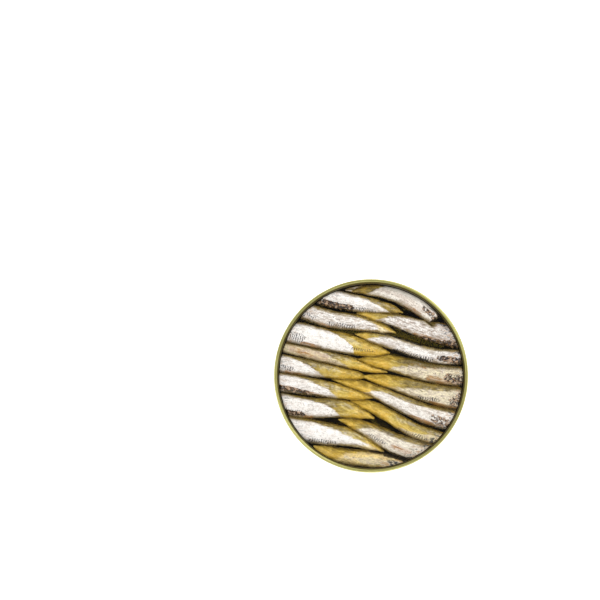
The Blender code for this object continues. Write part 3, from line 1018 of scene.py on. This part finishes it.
@dataclass
class Packing:
    """The row of sardines, each one lying over the next.

    Its constants are the fish's common form, in millimetres: how far out the spines start
    and the flesh reaches, how high the cut ends lie, the roll towards the back, the section's
    thickness and squareness, the tail's half width, the taper, the tail's dip and the slant
    of a cut.
    """
    fish: tuple[Sardine, ...] = ROW
    rings: int = 30
    sides: int = 20
    smoothing: int = 2
    wrinkle: float = 0.2
    swell_pitch: float = 0.22
    ripple_pitch: float = 0.8
    lump_pitch: float = 0.9
    overlap: float = 0.3
    slope: float = 4.0
    groove: float = 0.4
    groove_reach: float = 1.3
    blank: bpy.types.Object | None = field(default=None, repr=False)

    SPINE_START: ClassVar[float] = 49.2
    REACH: ClassVar[float] = 48.6
    CUT_END_TOP: ClassVar[float] = 23.4
    ROLL: ClassVar[float] = math.radians(13)
    PLUMP: ClassVar[float] = 0.78
    SQUARE: ClassVar[float] = 2.5
    TAIL_HALF: ClassVar[float] = 0.9
    TAPER: ClassVar[float] = 0.6
    DIP_POWER: ClassVar[float] = 2.2
    CUT_SLANT: ClassVar[float] = 0.035

    def make_blank(self) -> bpy.types.Object:
        """Models what every fish is shaped from.

        Returns:
            A closed tube of one unit's length and radius.
        """
        deselect()
        bpy.ops.mesh.primitive_circle_add(vertices=self.sides, radius=1.0, fill_type="NOTHING")
        blank = bpy.context.active_object
        blank.name = "sardine_blank"
        bpy.ops.object.mode_set(mode="EDIT")
        bpy.ops.mesh.select_all(action="SELECT")
        places = [0.0, 0.012] + [0.012 + 0.976 * (ring / (self.rings - 3)) ** 0.9
                                 for ring in range(1, self.rings - 2)] + [1.0]
        for here, there in zip(places, places[1:]):
            bpy.ops.mesh.extrude_edges_move(TRANSFORM_OT_translate={"value": (0.0, 0.0, there - here)})
        for end in (0.0, 1.0):
            select_where(blank, lambda co, end=end: abs(co.z - end) < 0.001)
            bpy.ops.mesh.edge_face_add()
            for share in (0.85, 0.45):
                bpy.ops.mesh.extrude_region_move()
                bpy.ops.transform.resize(value=(share, share, 1.0), center_override=(0.0, 0.0, end))
        bpy.ops.mesh.select_all(action="SELECT")
        bpy.ops.mesh.normals_make_consistent(inside=False)
        bpy.ops.object.mode_set(mode="OBJECT")
        return blank

    def shape(self, fish: Sardine, above: tuple[Sardine, ...], seed: int) -> bpy.types.Object:
        """Shapes one fish from a copy of the blank.

        Args:
            fish: the fish.
            above: those that lie over it.
            seed: moves its wrinkles and mottling.

        Returns:
            The fish, smooth, with the attributes that its skin reads.
        """
        piece = self.blank.copy()
        piece.data = self.blank.data.copy()
        piece.name = f"fish_{fish.side.value}_{fish.number}"
        bpy.context.collection.objects.link(piece)
        mesh = piece.data
        raw = np.empty(len(mesh.vertices) * 3)
        mesh.vertices.foreach_get("co", raw)
        raw = raw.reshape(-1, 3)
        angle = np.arctan2(raw[:, 1], raw[:, 0])
        out = np.clip(np.hypot(raw[:, 0], raw[:, 1]), 0.0, 1.0)
        start = fish.start(angle, out)
        t = start + (1 - start) * raw[:, 2]
        points = fish.surface(t, angle, out)
        flow = np.column_stack((t * fish.length(), np.cos(angle), np.sin(angle)))
        store = mesh.attributes.new("flow", "FLOAT_VECTOR", "POINT")
        store.data.foreach_set("vector", flow.ravel().astype(np.float32))
        mesh.vertices.foreach_set("co", (points * MM).ravel())
        mesh.update()
        deselect()
        bpy.context.view_layer.objects.active = piece
        piece.select_set(True)
        rounding = piece.modifiers.new("Rounding", "SUBSURF")
        rounding.levels = self.smoothing
        rounding.render_levels = self.smoothing
        bpy.ops.object.modifier_apply(modifier=rounding.name)
        if volume(piece.data) < 0:
            piece.data.flip_normals()
        self.settle(piece, fish, above, seed)
        piece.data.shade_smooth()
        return piece

    def settle(self, piece: bpy.types.Object, fish: Sardine, above: tuple[Sardine, ...], seed: int) -> None:
        """Wrinkles a fish, tucks it under those above it and stores what its skin reads.

        Args:
            piece: the rounded fish.
            fish: what it is shaped from.
            above: those that lie over it.
            seed: moves its wrinkles and mottling.
        """
        mesh = piece.data
        count = len(mesh.vertices)
        points = np.empty(count * 3)
        mesh.vertices.foreach_get("co", points)
        points = points.reshape(-1, 3) / MM
        normals = np.empty(count * 3, dtype=np.float32)
        mesh.vertex_normals.foreach_get("vector", normals)
        normals = normals.reshape(-1, 3)
        flow = np.empty(count * 3, dtype=np.float32)
        mesh.attributes["flow"].data.foreach_get("vector", flow)
        flow = flow.reshape(-1, 3)
        along = flow[:, 0]
        t = along / fish.length()
        half = fish.half_width(t)
        centre, back = fish.spine(t)
        across = ((points[:, :2] - centre) * back).sum(axis=1) / half

        gut = np.zeros(count)
        for patch in fish.patches:
            if patch.mark is Mark.GUT:
                gut = np.maximum(gut, patch.cover(t, across))
        shift = Vector((seed * 3.7, seed * 1.3, seed * 2.1))
        ripple = np.array([
            noise.noise(Vector(point) * self.swell_pitch + shift) * 1.5
            + noise.noise(Vector(point) * self.ripple_pitch + shift) * 0.6 for point in points])
        lumps = np.array([noise.noise(Vector(point) * self.lump_pitch - shift) for point in points])
        swell = ripple * self.wrinkle + gut * (lumps * 1.1 - 0.45)
        points = points + normals * swell[:, None]

        # Distances to the fish above, for the skin's painted shade and painted shadow line beside them.
        weight = np.ones(count)
        nearest = np.full(count, 9.0)
        from_back = half * (1 - across)
        for other in above:
            distance, height, at = other.cover(points[:, :2])
            beside = np.maximum(distance, 0.0)
            limit = height - self.overlap + beside * self.slope
            near = distance < 1.2
            points[:, 2] = np.where(near & (points[:, 2] > limit), limit, points[:, 2])
            body = (1 - smooth(at, 0.72, 0.95)) * (1 - 0.55 * smooth(t, 0.55, 0.85))
            points[:, 2] -= self.groove * (0.35 + 0.65 * body) * (1 - smooth(beside, 0.0, self.groove_reach)) ** 1.5
            weight = np.where(beside < nearest, 0.15 + 0.85 * body, weight)
            nearest = np.minimum(nearest, beside)
            if other.side is fish.side:
                from_back = np.minimum(from_back, beside)
        from_belly = half * (1 + across)
        from_back = from_back / np.minimum(fish.band, 0.1 + 0.35 * half)
        shaded = nearest / np.clip(half / 4, 0.45, 1.0)

        radius = np.hypot(points[:, 0], points[:, 1])
        pull = np.minimum(1.0, self.REACH / np.maximum(radius, 1e-6))
        points[:, :2] *= pull[:, None]

        mesh.vertices.foreach_set("co", (points * MM).ravel())
        painted = {mark: np.zeros(count) for mark in Mark}
        for patch in fish.patches:
            painted[patch.mark] = np.maximum(painted[patch.mark], patch.cover(t, across))
        line = np.interp(t, [place[0] for place in fish.edge], [place[1] for place in fish.edge])
        olive = smooth((across - line) * half, -fish.soft, fish.soft)
        golden = smooth(t, *fish.golden)
        same = np.ones(count)
        put(mesh, "flow", np.column_stack((along, across * half, same * seed * 13.0)))
        from_wall = self.REACH - radius * pull
        torn = 1.0 if fish.side is Side.RIGHT else 0.35
        end = torn * (1 - smooth(from_wall, 0.3, 7.0)) * (1 - smooth(along, 8.0, 15.0))
        put(mesh, "edges", np.column_stack((from_back, shaded, weight)))
        put(mesh, "near", np.column_stack((from_belly, from_wall, np.clip(ripple, -1.0, 1.0))))
        put(mesh, "depths", np.column_stack((end, painted[PAINTED_SHADOW], same * fish.deep)))
        put(mesh, "marks", np.column_stack((painted[TICKS], painted[RUST], painted[GUT])))
        put(mesh, "tones", np.column_stack((olive, golden, same * fish.dull)))
        put(mesh, "stains", np.column_stack((same * fish.warm, painted[PINK], painted[BROWN])))
        mesh.update()

    def build(self, skin: bpy.types.Material) -> None:
        """Shapes and dresses every fish in the row.

        Args:
            skin: their finish.
        """
        self.blank = self.make_blank()
        for index, fish in enumerate(self.fish):
            piece = self.shape(fish, self.fish[:index], index + 1)
            dress(piece, skin, "sardine_skin", fish.node)
        bpy.data.objects.remove(self.blank, do_unlink=True)


def put(mesh: bpy.types.Mesh, name: str, rows: np.ndarray) -> None:
    """Stores three numbers for each vertex under a name."""
    store = mesh.attributes.get(name) or mesh.attributes.new(name, "FLOAT_VECTOR", "POINT")
    store.data.foreach_set("vector", rows.ravel().astype(np.float32))


def volume(mesh: bpy.types.Mesh) -> float:
    """Measures a closed mesh.

    Args:
        mesh: the mesh.

    Returns:
        Six times its volume, less than 0 where its faces point in.
    """
    mesh.calc_loop_triangles()
    corners = np.empty(len(mesh.loop_triangles) * 3, dtype=np.int32)
    mesh.loop_triangles.foreach_get("vertices", corners)
    places = np.empty(len(mesh.vertices) * 3)
    mesh.vertices.foreach_get("co", places)
    tri = places.reshape(-1, 3)[corners.reshape(-1, 3)]
    return float(np.einsum("ij,ij->i", tri[:, 0], np.cross(tri[:, 1], tri[:, 2])).sum())


# Oil

@dataclass
class OliveOil:
    """The oil, from the base up to its level."""
    radius: float = 49.55 * MM
    floor: float = 1.9 * MM
    level: float = 21.0 * MM
    meniscus: float = 0.35 * MM
    sides: int = 128

    def build(self, oil: bpy.types.Material) -> None:
        """Turns the oil's body, with its surface creeping up the wall, and dresses it.

        Args:
            oil: its finish.
        """
        edge = self.radius
        profile = [(edge * 0.3, self.floor), (edge - 2.5 * MM, self.floor), (edge - 0.6 * MM, self.floor + 0.8 * MM)]
        profile += [(edge, self.floor + 2.4 * MM), (edge, self.level + self.meniscus)]
        profile += [(edge - 0.25 * MM, self.level + self.meniscus * 0.6)]
        profile += [(edge - 0.7 * MM, self.level + self.meniscus * 0.2)]
        profile += [(edge - 1.5 * MM, self.level), (edge * 0.6, self.level), (edge * 0.3, self.level)]
        piece = turn_on_axis("oil_pool", profile, self.sides, False)
        dress(piece, oil, "olive_oil", "olive_oil")


# Studio

@dataclass
class Studio:
    """Floor, soft light and the camera at the photograph's angle, nearly straight down.

    boxes are the soft boxes' places, sizes and watts, and ceiling is the height, size and
    watts of the light that comes back from the ceiling. offset is how many pixels right of
    and below the middle of the picture the tin is.
    """
    distance: float = 1.2
    elevation: float = 85.0
    rim_pixels: float = 97.05
    rim_radius: float = 51.25 * MM
    rim_height: float = 26.0 * MM
    picture: int = 600
    offset: tuple[float, float] = (70.9, 75.2)
    horizon: float = 0.7
    zenith: float = 0.14
    boxes: tuple[tuple[tuple[float, float, float], float, float], ...] = (
        ((0.75, 0.95, 1.15), 0.9, 11.2), ((-1.1, -0.35, 1.1), 0.9, 5.0), ((1.5, -0.1, 0.6), 0.9, 1.0),
        ((0.2, -1.4, 0.9), 0.9, 4.0))
    ceiling: tuple[float, float, float] = (1.6, 1.4, 13.0)

    def floor(self) -> None:
        """The lit white table that the tin stands on."""
        deselect()
        bpy.ops.mesh.primitive_plane_add(size=6.0, location=(0.0, 0.0, 0.0))
        sweep = bpy.context.active_object
        sweep.name = "studio_floor"
        sweep.data.materials.append(LightTable().make())

    def light(self) -> None:
        """A soft box from the upper right, weaker ones from both sides, and white surroundings.

        The surroundings darken overhead, so that the oil between the fish mirrors nothing
        bright up to a viewer above it and stays deep. The ceiling's bounce reaches down
        between the fish, as through a polarising filter, without a mirror image.
        """
        world = bpy.data.worlds.new("studio_world")
        world.use_nodes = True
        tree = world.node_tree
        place = add_node(tree, "ShaderNodeTexCoord").outputs["Generated"]
        up = add_node(tree, "ShaderNodeSeparateXYZ", links={0: place}).outputs[2]
        glow = add_node(tree, "ShaderNodeMapRange", values={1: 0.55, 2: 0.95, 3: self.horizon, 4: self.zenith},
                        links={0: up})
        tree.links.new(glow.outputs[0], tree.nodes["Background"].inputs["Strength"])
        tree.nodes["Background"].inputs["Color"].default_value = (1.0, 1.0, 1.0, 1.0)
        bpy.context.scene.world = world
        for number, (place, size, power) in enumerate(self.boxes, start=1):
            box = bpy.data.lights.new(f"softbox_{number}", "AREA")
            box.energy = power
            box.size = size
            stand = bpy.data.objects.new(box.name, box)
            stand.location = place
            stand.rotation_euler = (-Vector(place)).to_track_quat("-Z", "Y").to_euler()
            bpy.context.collection.objects.link(stand)
        height, size, power = self.ceiling
        bounce = bpy.data.lights.new("ceiling_bounce", "AREA")
        bounce.energy = power
        bounce.size = size
        ceiling = bpy.data.objects.new(bounce.name, bounce)
        ceiling.location = (0.0, 0.0, height)
        ceiling.visible_glossy = False
        bpy.context.collection.objects.link(ceiling)

    def camera(self) -> None:
        """A long lens that puts the tin low and right of the middle, as in the photograph."""
        centre = Vector((0.0, 0.0, self.rim_height))
        tilt = math.radians(self.elevation)
        place = centre + self.distance * Vector((0.0, -math.cos(tilt), math.sin(tilt)))
        focal = self.rim_pixels * self.distance / self.rim_radius
        data = bpy.data.cameras.new("camera")
        data.sensor_width = 36.0
        data.lens = focal * data.sensor_width / self.picture
        data.clip_end = 20.0
        camera = bpy.data.objects.new("camera", data)
        camera.location = place
        turn = (centre - place).to_track_quat("-Z", "Y").to_matrix().to_4x4()
        aside = math.atan2(self.offset[0], focal)
        down = math.atan2(self.offset[1], focal)
        turn = turn @ Matrix.Rotation(aside, 4, "Y") @ Matrix.Rotation(down, 4, "X")
        camera.rotation_euler = turn.to_euler()
        bpy.context.collection.objects.link(camera)
        bpy.context.scene.camera = camera

    def build(self) -> None:
        """Sets the whole studio."""
        self.floor()
        self.light()
        self.camera()
        bpy.context.scene.view_settings.view_transform = "Standard"


def main() -> None:
    """Builds the tin, its fish, its oil and the studio, in that order."""
    logging.basicConfig(level=logging.INFO, format="%(message)s")
    # inner is the colour of painted shade on each sheet's inner side, and on the rim also a painted reflection.
    wall_lacquer = GoldLacquer("gold_lacquered_steel", pale="B5AC5E", deep="93883E", inner="2C2611", roughness=0.26)
    rim_lacquer = GoldLacquer("gold_lacquered_rim", pale="CBC680", deep="B0AA5C", inner="5A5022", roughness=0.3)
    TinBody().build(wall_lacquer.make())
    LidRim().build(rim_lacquer.make())
    Packing().build(SardineSkin().make())
    OliveOil().build(OliveOilLook().make())
    Studio().build()


if __name__ == "__main__":
    main()
